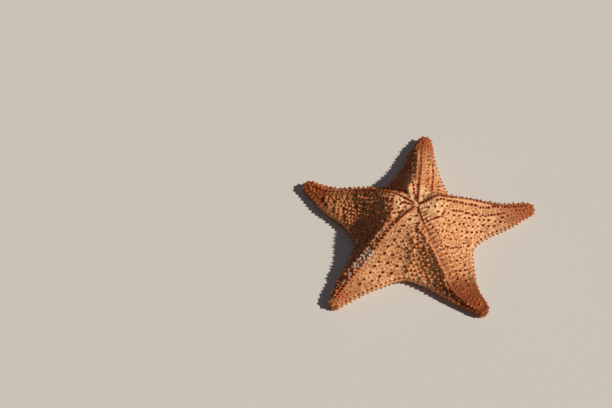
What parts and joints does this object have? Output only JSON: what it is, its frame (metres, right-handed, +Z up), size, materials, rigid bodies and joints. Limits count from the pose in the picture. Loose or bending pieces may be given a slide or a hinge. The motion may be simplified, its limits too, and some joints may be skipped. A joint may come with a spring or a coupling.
{
  "type": "starfish",
  "caption": "Life-size cushion starfish lying flat, thick domed disc and tapering arms set with blunt spines, still museum model.",
  "frame": {"origin": "middle of the footprint's bounding box, on the floor that the flat underside rests on", "axes": "+Z up, away from the floor; +X along the length of the footprint, to the right in the picture; +Y away from the picture's camera"},
  "size_m": [0.2264, 0.2192, 0.0497],
  "materials": {
    "skin": "rough, finely pitted hard skin, matt to satin",
    "end_plate": "granular, satin",
    "sieve_plate": "finely grooved chalky plate, matt",
    "mouth": "granular, matt"
  },
  "bodies": {
    "root": {"disc": "skin", "arm_right": "skin", "arm_far": "skin", "arm_left": "skin", "arm_near_left": "skin", "arm_near_right": "skin", "end_plate_right": "end_plate", "end_plate_far": "end_plate", "end_plate_left": "end_plate", "end_plate_near_left": "end_plate", "end_plate_near_right": "end_plate", "sieve_plate": "sieve_plate", "mouth": "mouth"}
  },
  "joints": []
}
